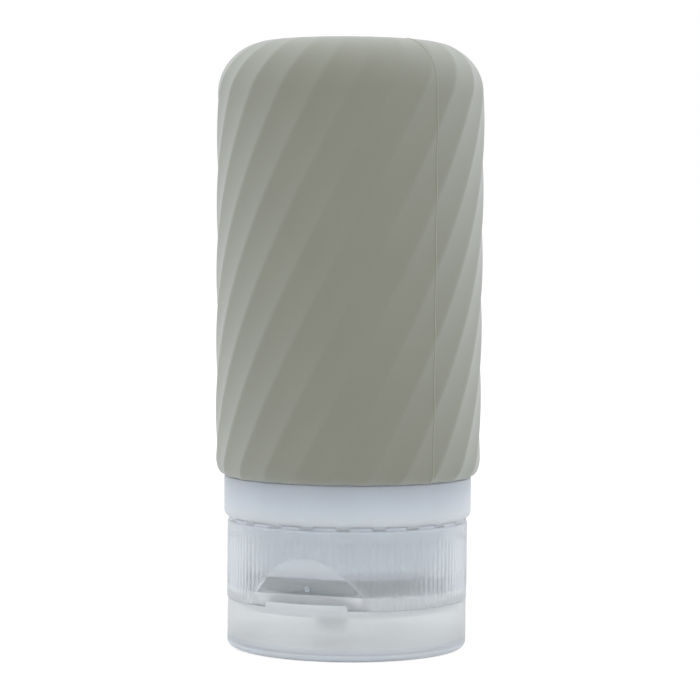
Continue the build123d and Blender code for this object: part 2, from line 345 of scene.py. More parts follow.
mouldedLook = {
    "toneSpread": 0.02,
    "roughSpread": 0.03,
    "grainPerMm": 6.0,
    "grainHeight": 0.006,
    "grainStrength": 0.25,
    "ior": 1.49,
    "clear": 0.0,
    "scatter": 1.0,
    "scatterReach": 1.0,
}
# painted light: the collar's lower part is up to 1.33 times lighter than its top, which the body above
# shades
collarLook = dict(mouldedLook, colour=(0.59, 0.64, 0.71, 1), cloudPerMm=0.10, paintedShading=1.33,
                  paintedShadingHeights=(24.0, 28.8), roughness=0.42, clear=0.35, scatterReach=2.0)
frostedLook = dict(mouldedLook, colour=(0.88, 0.94, 1.0, 1), toneSpread=0.005, cloudPerMm=0.15,
                   roughness=0.38, grainPerMm=4.0, grainHeight=0.003, ior=1.45, clear=0.65, scatter=0.0)
creamLook = dict(frostedLook, colour=(0.90, 0.94, 0.98, 1), roughness=0.3, clear=0.58)
skirtLook = dict(frostedLook, roughness=0.5, clear=0.5)
# painted shade: the lid is darker towards its foot on the floor
lidLook = dict(frostedLook, colour=(0.94, 0.98, 1.0, 1), paintedShading=0.86, paintedShadingHeights=(2.0, 5.0), clear=0.60)

plasticLooks = {
    # the collar's milky plastic; the threaded neck takes a paler copy of it, painted light inside the cap
    "milkyPlastic": collarLook,
    "neckPaintedLight": dict(collarLook, colour=(0.80, 0.84, 0.88, 1), paintedShading=1.0),
    # painted shade: a darker copy without transmission for the slots between the lugs, under the collar's
    # edge
    "slotPaintedShade": dict(collarLook, colour=(0.58, 0.62, 0.69, 1), paintedShading=1.0, clear=0.0, scatterReach=0.5),
    # the see-through plastic of cap and lid, by how each place is polished and how thick it is there;
    # darker copies paint shade on the cap's rim, the spout's tip and the lid's foot
    "frostedPlastic": frostedLook,
    "clearPlastic": dict(frostedLook, colour=(0.985, 0.99, 1.0, 1), toneSpread=0.004, roughness=0.16,
                         clear=1.0),
    "polishedPlastic": dict(frostedLook, roughness=0.11, clear=0.74),
    "flatTopPlastic": dict(frostedLook, roughness=0.2, clear=0.55),
    "bandPlastic": dict(frostedLook, roughness=0.36, clear=0.73),
    "creamPlastic": creamLook,
    "flatFootPlastic": dict(creamLook, colour=(0.94, 0.97, 1.0, 1), clear=0.44),
    # painted shade: a dark copy for the spout's tip
    "spoutPaintedShade": dict(frostedLook, colour=(0.36, 0.39, 0.47, 1), roughness=0.4, clear=0.5),
    "skirtPlastic": skirtLook,
    # painted shade: a darker copy for the cap's top rim, under the collar
    "rimPaintedShade": dict(skirtLook, colour=(0.80, 0.86, 0.93, 1)),
    "lidPlastic": lidLook,
    # painted shade: darker copies for the lid's foot, where it meets the floor
    "lidMiddlePaintedShade": dict(lidLook, colour=(0.83, 0.89, 0.95, 1), roughness=0.45, clear=0.49),
    "lidFootPaintedShade": dict(lidLook, colour=(0.86, 0.92, 0.99, 1), roughness=0.5, clear=0.3),
    # the small pieces inside the cap
    "retainerPlastic": dict(mouldedLook, colour=(0.94, 0.95, 0.95, 1), cloudPerMm=0.2, roughness=0.45,
                            grainPerMm=5.0),
    "linerFoam": dict(mouldedLook, colour=(0.95, 0.95, 0.92, 1), toneSpread=0.05, cloudPerMm=1.5,
                      roughness=0.85, grainPerMm=3.0, grainHeight=0.05, ior=1.35, scatter=0.0),
    "valveSilicone": dict(mouldedLook, colour=(0.72, 0.75, 0.75, 1), cloudPerMm=0.4, roughness=0.5,
                          grainHeight=0.008, ior=1.41, scatter=0.5, scatterReach=0.5),
}

print("finishes")
finishes = {name: plasticFinish(name, look) for name, look in plasticLooks.items()}
finishes["softSilicone"] = siliconeFinish()

# Soft body

softBody = {
    "facets": 23,
    "twistLead": 270.0,      # height that turns a ridge once round
    "ridgeHeight": 65.5,     # where a ridge crosses ridgeAngle
    "ridgeAngle": -76.8,
    "ridgeRound": 0.10,      # share of half a facet that its ridge is rounded over
    "facetDip": 0.11,        # how hollow a facet is in its middle
    "columnsPerFacet": 16,
    "draft": 0.15,
    "shoulder": 9.3,
    "cornerHeight": 3.4,
    "cornerWidth": 1.6,
    "cornerRows": 10,
    "wallRows": 42,
    "shoulderRows": 22,
    "endShares": (0.75, 0.5, 0.25),
    "wall": 1.8,
    "roofShares": (0.2, 0.4),
    "cavityBase": 2.6,
    "rim": 16.35,
    "rimHeight": 2.15,
    "rimRound": 0.5,
    "seamProud": 0.11,
    "seamFirstRow": 2,       # the parting line starts this many rows above the foot
    "seamTopShares": (0.94, 0.06),
    "seamTopRows": 8,
    "seamColumns": 10,
}
bodyFoot, bodyTop = collarHigh[2], bodyHigh[2]
bodyRadius = (bodyHigh[0] - bodyLow[0]) / 2


def ridgeTurn(height):
    # how far round the ridges have turned at a height
    s = softBody
    return np.radians(s["ridgeAngle"]) + tau * (height - s["ridgeHeight"]) / s["twistLead"]


def ridgeRadius(height):
    # axis to ridge: a quarter-ellipse corner, a straight side with draft and a quarter-round shoulder
    s = softBody
    base = bodyRadius - s["draft"]
    rise = np.clip((height - bodyFoot) / s["cornerHeight"], 0, 1)
    corner = base - s["cornerWidth"] * (1 - np.sqrt(1 - (1 - rise) ** 2))
    wallStart, wallEnd = bodyFoot + s["cornerHeight"], bodyTop - s["shoulder"]
    slope = s["draft"] * np.clip((height - wallStart) / (wallEnd - wallStart), 0, 1)
    over = np.clip((height - wallEnd) / s["shoulder"], 0, 1)
    return corner + slope - s["shoulder"] * (1 - np.sqrt(1 - over * over))


def facetShare(turn):
    # radius as a share of the ridge's, at a turn from a ridge: slightly hollow facets, rounded ridges
    half = np.pi / softBody["facets"]
    fromRidge = np.abs((turn + half) % (2 * half) - half)
    rounded = np.sqrt(fromRidge ** 2 + (half * softBody["ridgeRound"]) ** 2)
    flat = np.cos(half) / np.cos(half - np.minimum(rounded, half))
    return flat - softBody["facetDip"] / bodyRadius * (1 - (1 - fromRidge / half) ** 2)


def bodyHeights():
    # heights of the outer rows, closest together on the round corner and shoulder
    s = softBody
    cornerSweep = np.radians(np.linspace(0, 90, s["cornerRows"]))
    corner = bodyFoot + s["cornerHeight"] * (1 - np.cos(cornerSweep))
    wall = np.linspace(bodyFoot + s["cornerHeight"], bodyTop - s["shoulder"], s["wallRows"])[1:-1]
    shoulderSweep = np.radians(np.linspace(0, 90, s["shoulderRows"]))
    shoulder = bodyTop - s["shoulder"] * (1 - np.sin(shoulderSweep))
    return np.concatenate([corner, wall, shoulder])


def bodySkin():
    # radius(turn, height) = ridge radius x facet share; columns lean with the ridges, one along each
    s = softBody
    around = turns(s["facets"] * s["columnsPerFacet"])
    heights = bodyHeights()
    outer = [(ridgeRadius(z) * facetShare(around), z) for z in heights]
    outer += [(ridgeRadius(bodyTop) * k * facetShare(around), bodyTop) for k in s["endShares"]]
    lean = ridgeTurn(np.array([row[1] for row in outer]))
    outerPoints = placed(around[None, :] + lean[:, None], stack(around, outer))

    mouth, rim, neck, small = shared["mouth"], s["rim"], shared["neck"], shared["edge"]
    cavity = ridgeRadius(bodyFoot + s["cornerHeight"]) * np.cos(np.pi / s["facets"]) - s["wall"]
    roof, floor, bigRound = bodyTop - s["wall"], bodyFoot + s["wall"], s["shoulder"] - s["wall"]
    rimFoot, rimTop, rimRound = bodyLow[2], bodyLow[2] + s["rimHeight"], s["rimRound"]
    inner = [(cavity * k, roof) for k in s["roofShares"]]
    inner += arc(cavity - bigRound, roof - bigRound, bigRound, 90, 0, steps=8)
    inner += arc(cavity - s["cavityBase"], floor + s["cavityBase"], s["cavityBase"], 0, -90, steps=5)
    inner += arc(mouth + rimRound, floor - rimRound, rimRound, 90, 180)
    inner += arc(mouth + rimRound, rimFoot + rimRound, rimRound, 180, 270)
    inner += arc(rim - rimRound, rimFoot + rimRound, rimRound, 270, 360, steps=4)
    inner += arc(rim - rimRound, rimTop - rimRound - shared["slip"], rimRound, 0, 90, steps=4)
    inner += [(neck, rimTop - shared["slip"]), (neck, bodyFoot - small), (neck + small, bodyFoot)]
    innerPoints = placed(around + ridgeTurn(bodyFoot), stack(around, inner))
    return np.concatenate([innerPoints, outerPoints])


def seamBead():
    # an ellipse carried up one side, over the top and down the other, on the facets' own surface
    s = dict(softBody, **siliconeLook)
    wallHeights = bodyHeights()[s["seamFirstRow"]:]
    topShares = np.linspace(*s["seamTopShares"], s["seamTopRows"])
    heights = np.concatenate([wallHeights, np.full(len(topShares), bodyTop)])
    reach = np.concatenate([ridgeRadius(wallHeights), ridgeRadius(bodyTop) * topShares])
    start = np.radians(s["seamAngle"])
    sides = []
    for angle in (start, start + np.pi):
        radius = reach * facetShare(angle - ridgeTurn(heights))
        sides.append(np.stack([radius * np.cos(angle), radius * np.sin(angle), heights], axis=-1))
    path = np.concatenate([sides[0], sides[1][::-1]])
    along = np.gradient(path, axis=0)
    across = np.array([-np.sin(start), np.cos(start), 0])
    outward = np.cross(across, along)
    outward /= np.linalg.norm(outward, axis=1, keepdims=True)
    outward *= np.sign((outward * (path - [0, 0, bodyTop / 2])).sum(axis=1))[:, None]
    swing = turns(s["seamColumns"])
    side = np.cos(swing)[None, :, None] * s["seamWidth"] / 2 * across
    lift = (2 * np.sin(swing)[None, :, None] - 1) * s["seamProud"] * outward[:, None, :]
    bead = path[:, None, :] + side + lift
    # on the flat end it lies just under the surface, where only its painted highlight is left
    bead[..., 2] = np.minimum(bead[..., 2], bodyTop - shared["slip"])
    return bead


print("soft body")
fit(solidOf("softBody", [(bodySkin(), False), (seamBead(), False)], sharpAngle=30),
    "bottle", ["softSilicone"], "soft_body", "silicone_body")

# Collar

collar = {
    "bore": 14.9,
    "supportRadius": 18.9,
    "supportHeight": 3.25,
    "radius": 21.3,
    "wall": 1.5,
    "web": 1.5,
    "edge": 1.3,
    "edgeDrop": 0.45,        # the edge's round hangs this far below the slots' roof
    "topChamfer": 0.25,
    "gussets": 8,
    "gussetWidth": 1.2,
    "firstGussetShare": 0.5,
    "lugs": 21,
    "lugWidth": 2.3,
    "lugHeight": 0.8,
    "lugRadius": 20.5,
    "lugTip": 0.1,           # the lugs' outer edge reaches down this far over the cap's round rim
    "lugChamfer": 0.3,
    "lugTurn": -2.9,         # how far round the first lug stands, in degrees
    "slotRadius": 20.3,      # how deep the slots between the lugs go in
    "sillShare": 0.5,        # share of a slot's height at which its back starts to slope out
    "neckEnd": 12.95,
    "neckRows": 34,
    "threadFoot": 14.5,
    "threadTurns": 1.25,
    "columns": 420,
    "finishes": ["milkyPlastic", "neckPaintedLight", "slotPaintedShade"],
}


def repeated(columns, count, firstShare, width, radius):
    # 1 inside each of count evenly spaced widths and 0 between them
    step = tau / count
    away = np.abs((columns - firstShare * step + step / 2) % step - step / 2)
    return (away < width / 2 / radius).astype(float)


def repeatedEdges(count, firstShare, width, radius):
    # the angles at which those widths start and end
    middle = (np.arange(count) + firstShare) * tau / count
    return np.concatenate([middle - width / 2 / radius, middle + width / 2 / radius])


def collarPoints():
    # a closed section carried round: bore, pocket with gussets, skirt, lugs, support ring and threaded neck
    c = collar
    lugMiddle = (c["supportRadius"] + c["lugRadius"]) / 2
    pocketMiddle = (shared["collarNeck"] + c["radius"] - c["wall"]) / 2
    firstLug = c["lugTurn"] * c["lugs"] / 360
    lugPlaces = (c["lugs"], firstLug, c["lugWidth"], lugMiddle)
    gussetPlaces = (c["gussets"], c["firstGussetShare"], c["gussetWidth"], pocketMiddle)
    edges = np.concatenate([repeatedEdges(*lugPlaces), repeatedEdges(*gussetPlaces)])
    columns = turns(c["columns"], edges)
    small, neck, inside = shared["edge"], shared["collarNeck"], c["radius"] - c["wall"]
    top = bodyFoot - shared["slip"]
    foot = skirtEnd + shared["seat"] + c["lugHeight"]
    support = foot - c["supportHeight"]
    gusset = repeated(columns, *gussetPlaces)
    pocketFloor = foot + c["web"] + gusset * (top - small - foot - c["web"])
    isLug = repeated(columns, *lugPlaces)
    lugEnd = foot - c["lugHeight"]
    lugFoot = foot - (c["lugHeight"] + c["lugTip"]) * isLug
    slotBack = c["slotRadius"] + (c["lugRadius"] - c["slotRadius"]) * isLug
    sill = np.minimum(foot - c["sillShare"] * c["lugHeight"], lugFoot)
    # the round lower edge stops where the lugs begin
    lugTurn = -np.degrees(np.arccos((c["lugRadius"] - c["radius"] + c["edge"]) / c["edge"]))

    rows = [(c["bore"], c["neckEnd"] + small), (c["bore"], top - small), (c["bore"] + small, top)]
    rows += [(neck - small, top), (neck, top - small), (neck, pocketFloor), (inside, pocketFloor)]
    rows += [(inside, top - small), (inside + small, top), (c["radius"] - c["topChamfer"], top)]
    rows += arc(c["radius"] - small, top - c["topChamfer"], small, 45, 0, steps=2)
    rows += arc(c["radius"] - c["edge"], foot + c["edge"] - c["edgeDrop"], c["edge"], 0, lugTurn, steps=7)
    rows += [(c["lugRadius"], lugFoot)]
    slotStart = len(rows)
    # a slot's back slopes out to a sill at the foot of the lugs
    rows += [(slotBack, lugFoot), (slotBack, sill), (c["lugRadius"], lugEnd - c["lugTip"])]
    slotEnd = len(rows)
    rows += [(c["lugRadius"] - c["lugChamfer"], lugEnd), (c["supportRadius"], lugEnd)]
    rows += [(c["supportRadius"], support + small), (c["supportRadius"] - small, support)]
    neckStart = len(rows)
    rows += [(neck, support)]
    for z in np.linspace(support, c["neckEnd"] + small, c["neckRows"]):
        ridge = threadRidge(columns, z, c["threadFoot"], c["threadTurns"])
        rows.append((neck + shared["threadDepth"] * ridge, z))
    rows += [(neck - small, c["neckEnd"]), (c["bore"] + small, c["neckEnd"])]
    kind = c["finishes"].index
    finish = np.full((len(rows), len(columns)), kind("milkyPlastic"))
    # painted light: the threaded neck inside the cap takes the paler copy
    finish[neckStart:] = kind("neckPaintedLight")
    # painted shade in the slots between the lugs
    finish[slotStart:slotEnd] = kind("slotPaintedShade")
    return placed(columns, stack(columns, rows)), finish


print("collar")
ringPoints, ringFinish = collarPoints()
fit(solidOf("collarRing", [(ringPoints, True)], finish=ringFinish),
    "bottle", collar["finishes"], "collar", "collar_ring")

# Cap

cap = {
    "ribs": 126,
    "ribDepth": 0.13,
    "ribFade": 0.9,          # the ribs run out this far above the scoop
    "columnsPerRib": 6,
    "plainBand": 1.6,
    "edge": 0.5,
    "inside": 19.4,
    "insideLow": 20.0,       # the wall is thinner below the support ring
    "insideStep": 19.3,
    "floor": 1.3,
    "innerSkirt": 17.9,
    "innerSkirtLow": 17.3,
    "milkyFoot": 14.6,       # above it the skirt's thread makes it milky
    "innerSkirtEnd": 19.3,
    "bore": 17.35,
    "boreFoot": 13.3,
    "boreRows": 26,
    "clearBoreRows": 3,
    "chamber": 16.6,
    "creamTop": 10.8,
    "bandTop": 13.7,
    "archFadeShare": 0.11,   # of the height from the arch to the ribs' top, with rows close together
    "deckRise": 1.3,
    "deckRadius": 19.3,
    "deckChamfer": 0.3,
    "threadFoot": 15.55,
    "threadTurns": 0.85,
    "scoopHalfAngle": 32.5,
    "scoopHeight": 8.5,
    "scoopWall": 0.6,
    "scoopRound": 0.16,
    "scoopMargin": 1.0,      # the scoop's columns end this far outside the wall
    "spoutRadius": 3.0,
    "spoutHeight": 3.5,
    "spoutTip": 1.0,
    "spoutTaper": 0.5,
    "spoutChamfer": 0.4,
    "orifice": 1.5,
    "sleeve": 2.15,
    "flangeBore": 3.5,
    "flangeHeight": 0.8,
    "nubRadius": 0.55,
    "nubHeight": 0.3,
    "nubDimple": 0.2,
    "nubRise": 3.3,
    "nubShares": (0.45, 0.3, 0.15),
    "nubColumns": 32,
    "rowShares": {           # where the rows of a stretch lie, as shares of its height
        "foot": (0, 0.3, 0.65),
        "flat": (0, 0.35, 0.7),
        "flatTop": (0, 0.35, 0.65, 0.85, 0.975),
        "overArch": (0, 0.1, 0.3, 0.6, 1),
        "bandMiddle": 0.35,
        "strapGap": 0.003,   # between the two rows at the strap's end, to each side of it
        "ribs": (0.25, 0.5, 0.75, 0.95),
        "pocket": (0, 0.5, 0.99, 1),
        "pocketFoot": (0.01, 0.3, 0.6, 1),
    },
    "finishes": ["frostedPlastic", "clearPlastic", "polishedPlastic", "skirtPlastic", "rimPaintedShade",
                 "creamPlastic", "spoutPaintedShade", "flatFootPlastic", "bandPlastic", "flatTopPlastic"],
}
scoopMouth = shared["capRadius"] * np.cos(np.radians(cap["scoopHalfAngle"]))
scoopRatio = (shared["capRadius"] - scoopMouth) / cap["scoopHeight"]
scoopSlope = np.arctan(scoopRatio)


def scoopReach(height, inset=0.0):
    # distance from the axis to the scoop's slanting flat, moved in by a wall
    return scoopMouth + (height - shellFoot) * scoopRatio - inset / np.cos(scoopSlope)


def scoopHeightAt(reach, inset=0.0):
    # the height at which the flat is that far from the axis
    return shellFoot + (reach + inset / np.cos(scoopSlope) - scoopMouth) / scoopRatio


def heightsBetween(start, end, shares):
    # heights from start to end at the given shares, for every column
    return [start + (end - start) * share for share in shares]


def capPoints():
    # a closed section carried round: ribbed wall cut by the scoop, pocket, inner skirt, bore, spout, deck
    c, shares = cap, cap["rowShares"]
    columns = turns(c["ribs"] * c["columnsPerRib"])
    # cosine of the turn from the scoop's middle, and from the hinge's middle
    front = np.maximum(-np.sin(columns), shared["leastCosine"])
    back = np.maximum(np.sin(columns), shared["leastCosine"])
    small, radius, deck = shared["edge"], shared["capRadius"], shellFoot - c["deckRise"]
    ribTop = skirtEnd - c["plainBand"]
    strapTop = hingeHeight + shared["strapReach"]
    groove = c["ribDepth"] * (1 - np.abs(np.cos(columns * c["ribs"] / 2)))
    plain = scoopReach(shellFoot) / front > radius + c["scoopMargin"]

    arch = np.clip(scoopHeightAt(radius * front), shellFoot, ribTop)
    archFade = np.where(plain, -c["ribFade"], arch)
    rows = []

    def wallRadius(height):
        # ribs, cut by the scoop's flat in front and by the strap's flat behind
        ribShare = smoothStep(height, archFade, archFade + c["ribFade"])
        ribbed = radius - groove * ribShare * (1 - smoothStep(height, ribTop - small, ribTop + small))
        cut = np.where(plain, ribbed, softMin(ribbed, scoopReach(height) / front, c["scoopRound"]))
        return np.where(height < strapTop, np.minimum(cut, shared["hingeFlat"] / back), cut)

    def addWall(start, end, rowShares):
        # rows of the outer wall between two heights, and the number of rows that there are then
        rows.extend([(wallRadius(z), z) for z in heightsBetween(start, end, rowShares)])
        return len(rows)

    creamEdge = np.minimum(c["creamTop"], arch)
    bandEdge = np.clip(arch, creamEdge, c["bandTop"])
    archStart = addWall(shellFoot, creamEdge, shares["foot"])
    flatTopStart = addWall(creamEdge, bandEdge, shares["flat"])
    archEnd = addWall(bandEdge, arch, shares["flatTop"])
    low = arch < c["creamTop"]
    fadeEnd = np.where(low, c["creamTop"], arch + c["archFadeShare"] * (ribTop - arch))
    bandStart = addWall(arch, fadeEnd, shares["overArch"])
    bandEnd = np.maximum(c["bandTop"], fadeEnd + small)
    strapShare = (strapTop - c["creamTop"]) / (c["bandTop"] - c["creamTop"])
    strapShares = (strapShare - shares["strapGap"], strapShare + shares["strapGap"])
    ribStart = addWall(fadeEnd, bandEnd, (shares["bandMiddle"], *strapShares, 1))
    addWall(bandEnd, ribTop, shares["ribs"])
    rows += [(wallRadius(ribTop + small), ribTop + small)]
    rimStart = len(rows)
    rows += arc(radius - c["edge"], skirtEnd - c["edge"], c["edge"], 0, 90, steps=5)
    rimEnd = len(rows)
    rows += arc(c["inside"] + small, skirtEnd - small, small, 90, 180, steps=2)

    pocketBase = scoopHeightAt(c["innerSkirtLow"] * front, c["scoopWall"])
    pocketFloor = np.maximum(shellFoot + c["floor"], pocketBase)
    pocketBend = np.maximum(pocketFloor, scoopHeightAt(c["insideLow"] * front, c["scoopWall"]))
    rows += [(c["inside"], c["insideStep"] + small), (c["insideLow"], c["insideStep"])]
    pocketHeights = heightsBetween(c["insideStep"] - small, pocketBend, shares["pocket"])
    pocketHeights += heightsBetween(pocketBend, pocketFloor, shares["pocketFoot"])
    rows += [(np.minimum(c["insideLow"], scoopReach(z, c["scoopWall"]) / front), z) for z in pocketHeights]
    rows += [(c["innerSkirtLow"], pocketFloor), (c["innerSkirtLow"], c["boreFoot"] - small)]
    skirtStart = len(rows)
    rows += [(c["innerSkirt"], c["milkyFoot"])]
    rows += arc(c["innerSkirt"] - small, c["innerSkirtEnd"] - small, small, 0, 90, steps=2)
    rows += arc(c["bore"] + small, c["innerSkirtEnd"] - small, small, 90, 180, steps=2)
    for z in np.linspace(c["innerSkirtEnd"] - small, c["boreFoot"], c["boreRows"])[1:]:
        ridge = threadRidge(columns, z, c["threadFoot"], c["threadTurns"])
        rows.append((c["bore"] - shared["threadDepth"] * ridge, z))
    milkyEnd = len(rows) - c["clearBoreRows"]
    rows += [(c["chamber"], c["boreFoot"]), (c["chamber"], shared["deckInside"])]

    tip = deck - c["spoutHeight"]
    flangeFoot, tipInside = shared["deckInside"] - c["flangeHeight"], tip + c["spoutTip"]
    rows += atSpout([(c["flangeBore"], shared["deckInside"]), (c["flangeBore"], flangeFoot)])
    rows += atSpout([(c["sleeve"], flangeFoot), (c["sleeve"], tipInside), (c["orifice"], tipInside)])
    rows += atSpout(arc(c["orifice"] + small, tip + small, small, 180, 270, steps=2))
    spoutStart = len(rows)
    tipRadius = c["spoutRadius"] - c["spoutTaper"]
    rows += atSpout([(tipRadius - c["spoutChamfer"], tip), (tipRadius, tip + c["spoutChamfer"])])
    spoutEnd = len(rows)
    rows += atSpout([(c["spoutRadius"], deck - small), (c["spoutRadius"] + small, deck)])
    deckStart = len(rows)
    rows += [(c["deckRadius"] - c["deckChamfer"], deck), (c["deckRadius"], deck + c["deckChamfer"])]
    rows += [(c["deckRadius"], shellFoot)]

    kind = c["finishes"].index
    finish = np.full((len(rows), len(columns)), kind("clearPlastic"))
    finish[:rimEnd] = kind("frostedPlastic")
    finish[archStart:flatTopStart, ~plain] = kind("polishedPlastic")
    finish[flatTopStart:archEnd, ~plain] = kind("flatTopPlastic")
    finish[bandStart - 1:ribStart - 1, fadeEnd < c["bandTop"] - small] = kind("bandPlastic")
    finish[:archStart] = kind("creamPlastic")
    finish[:archStart, arch > c["creamTop"] + small] = kind("flatFootPlastic")
    finish[archEnd:bandStart - 1, low] = kind("creamPlastic")
    finish[skirtStart:milkyEnd] = kind("skirtPlastic")
    # painted shade on the rim under the collar
    finish[rimStart:rimEnd] = kind("rimPaintedShade")
    # painted shade on the spout's tip
    finish[spoutStart:spoutEnd] = kind("spoutPaintedShade")
    finish[deckStart:] = kind("skirtPlastic")
    return placed(columns, stack(columns, rows)), finish


def nubPoints():
    # a low ring on the scoop's flat: rows of a rounded disc with a dimple, square to the flat
    c = cap
    columns = turns(c["nubColumns"])
    edge = c["nubHeight"] / 2
    rows = [(c["nubRadius"], -edge)]
    rows += arc(c["nubRadius"] - edge, c["nubHeight"] - edge, edge, 0, 120, steps=6)
    rows += [(c["nubRadius"] * k, c["nubHeight"] - c["nubDimple"] * (1 - k * k)) for k in c["nubShares"]]
    grid = placed(columns, stack(columns, rows))
    middle = shellFoot + c["nubRise"]
    outward = np.array([0, -np.cos(scoopSlope), -np.sin(scoopSlope)])
    upward = np.array([0, -np.sin(scoopSlope), np.cos(scoopSlope)])
    side = np.array([1.0, 0, 0])
    foot = np.array([0, -scoopReach(middle), middle])
    return foot + grid[..., :1] * side + grid[..., 1:2] * upward + grid[..., 2:] * outward


print("cap")
shellPoints, shellFinish = capPoints()
fit(solidOf("capShell", [(shellPoints, True), (nubPoints(), False)], sharpAngle=20, finish=shellFinish),
    "cap", cap["finishes"], "cap", "cap_shell")

# Flip lid

lid = {
    "radius": 20.6,
    "wall": 1.1,
    "plate": 1.3,
    "edge": 1.2,
    "faceShares": (0.3, 0.6, 0.85),
    "wallHeights": (2.2, 3.2),
    "upperWall": 1.5,        # the wall's last row but one lies this far below the rim
    "rimRound": 0.12,
    "lipHeight": 0.95,
    "lipWall": 0.8,
    "lipHalfAngle": 21.0,
    "lipRound": 0.45,
    "lipColumns": (0, 0.004, 0.012),   # pairs of columns this far inside each end of the lip, in radians
    "innerCorner": 0.4,
    "ringBore": 3.3,
    "ringWall": 0.8,
    "ringTop": 2.6,
    "pin": 1.44,
    "pinTip": 1.32,
    "pinRound": 0.3,
    "pinFoot": 3.8,
    "pinTop": 4.6,
    "columns": 600,
    "finishes": ["lidPlastic", "clearPlastic", "lidFootPaintedShade", "lidMiddlePaintedShade"],
}


def lidPoints():
    # from the middle of the flat face out, up the wall to the rim and lip, and in over plate, ring and pin
    l = lid
    lipEdges = np.radians([-90 - l["lipHalfAngle"], -90 + l["lipHalfAngle"]])
    inward = np.array([1, -1])
    columns = turns(l["columns"], np.concatenate([lipEdges + inward * gap for gap in l["lipColumns"]]))
    back = np.maximum(np.sin(columns), shared["leastCosine"])
    fromFront = np.abs((columns + np.pi / 2 + np.pi) % tau - np.pi) * l["radius"]
    lipEnd = np.radians(l["lipHalfAngle"]) * l["radius"]
    rise = np.clip((lipEnd - fromFront) / l["lipRound"], 0, 1)
    lip = l["lipHeight"] * np.sqrt(1 - (1 - rise) ** 2)
    rim, small, radius = shared["lidHeight"], l["rimRound"], l["radius"]
    tuck = np.minimum(small, lip)                    # the lip's inner round, none where there is no lip
    strapFoot = hingeHeight - shared["strapReach"]

    def flattened(height, value):
        # the flat under the strap, above the strap's lower end
        return np.where(height > strapFoot, np.minimum(value, shared["hingeFlat"] / back), value)

    rows = [(radius * k, 0.0) for k in l["faceShares"]]
    edgeStart = len(rows)
    rows += arc(radius - l["edge"], l["edge"], l["edge"], -90, 0, steps=8)
    footEnd = len(rows)
    wallHeights = [*l["wallHeights"], strapFoot - shared["slip"], strapFoot + shared["slip"]]
    wallHeights += [rim - l["upperWall"], rim - small]
    rows += [(flattened(z, radius), z) for z in wallHeights]
    rows += [(flattened(rim, radius), rim - small + lip)]
    rows += [(flattened(rim, radius) - small * (1 - np.cos(a)), rim + lip - small * (1 - np.sin(a)))
             for a in np.radians((30, 60, 90))]
    skinRows = len(rows)
    inner, lipInside = radius - l["wall"], radius - l["lipWall"]
    rows += [(lipInside + small * (1 - np.sin(a)), rim + lip - tuck * (1 - np.cos(a)))
             for a in np.radians((0, 45, 90))]
    corner = l["innerCorner"]
    rows += [(lipInside, rim), (inner + small, rim), (inner, rim - small), (inner, l["plate"] + corner)]
    rows += arc(inner - corner, l["plate"] + corner, corner, 0, -90)
    ringOut = l["ringBore"] + l["ringWall"]
    middle = [(ringOut + small, l["plate"]), (ringOut, l["plate"] + small)]
    middle += [(ringOut, l["ringTop"] - small), (ringOut - small, l["ringTop"])]
    middle += [(l["ringBore"] + small, l["ringTop"]), (l["ringBore"], l["ringTop"] - small)]
    middle += [(l["ringBore"], l["plate"]), (l["pin"] + small, l["plate"])]
    middle += [(l["pin"], l["plate"] + small), (l["pin"], l["pinFoot"])]
    tip = l["pinRound"]
    middle += arc(l["pinTip"] - tip, l["pinTop"] - tip, tip, 0, 90)
    rows += atSpout(middle)
    kind = l["finishes"].index
    finish = np.full((len(rows) - 1, len(columns)), kind("lidPlastic"))
    # painted shade along the lid's foot, darkest on the row where the round meets the wall
    finish[edgeStart:footEnd - 1] = kind("lidFootPaintedShade")
    finish[footEnd - 1] = kind("lidMiddlePaintedShade")
    finish[skinRows:] = kind("clearPlastic")
    return placed(columns, stack(columns, rows)), finish


print("lid")
coverPoints, coverFinish = lidPoints()
fit(solidOf("flipLid", [(coverPoints, False)], finish=coverFinish),
    "lid", lid["finishes"], "cap", "flip_lid")

# Hinge strap

strap = {
    "width": 7.6,
    "thickness": 0.7,
    "film": 0.35,
    "notchReach": 0.5,
    "notchPower": 0.7,       # under 1, so that the notch's sides steepen towards its ends
    "edge": 0.18,
    "edgePoints": 5,
    "sunk": 0.04,
    "foldReach": 0.36,
    "nearReach": 1.0,        # rows are close together this far from the fold
    "nearRows": 25,
    "farRow": 2.6,
}


def strapPoints():
    # a rounded rectangle carried up the back, thinned from the inside by a notch at the fold
    s = strap
    corner = np.radians(np.linspace(0, 90, s["edgePoints"]))
    halfWidth, halfDepth = s["width"] / 2, s["thickness"] / 2
    quarter = np.stack([halfWidth - s["edge"] + s["edge"] * np.cos(corner),
                        halfDepth - s["edge"] + s["edge"] * np.sin(corner)], axis=-1)
    backwards = quarter[::-1]
    outline = np.concatenate([quarter, backwards * [-1, 1], quarter * [-1, -1], backwards * [1, -1]])
    reach, far = shared["strapReach"], s["farRow"]
    near = np.linspace(-s["nearReach"], s["nearReach"], s["nearRows"])
    offsets = np.concatenate([[-reach, -reach + s["edge"], -far], near, [far, reach - s["edge"], reach]])
    fromFold = np.clip(1 - np.abs(offsets) / s["notchReach"], 0, 1)
    notch = (s["thickness"] - s["film"]) * fromFold ** s["notchPower"]
    pull = np.where(np.abs(offsets) > reach - s["edge"] / 2, s["edge"], 0.0)
    outFace = shared["hingeFlat"] + s["thickness"]
    depthShare = (outline[None, :, 1] + halfDepth) / s["thickness"]
    inFace = shared["hingeFlat"] - s["sunk"] + notch[:, None]
    y = inFace + depthShare * (outFace - pull[:, None] - inFace)
    x = outline[None, :, 0] * (1 - pull[:, None] / halfWidth)
    z = np.broadcast_to(hingeHeight + offsets[:, None], y.shape)
    return np.stack(np.broadcast_arrays(x, y, z), axis=-1)


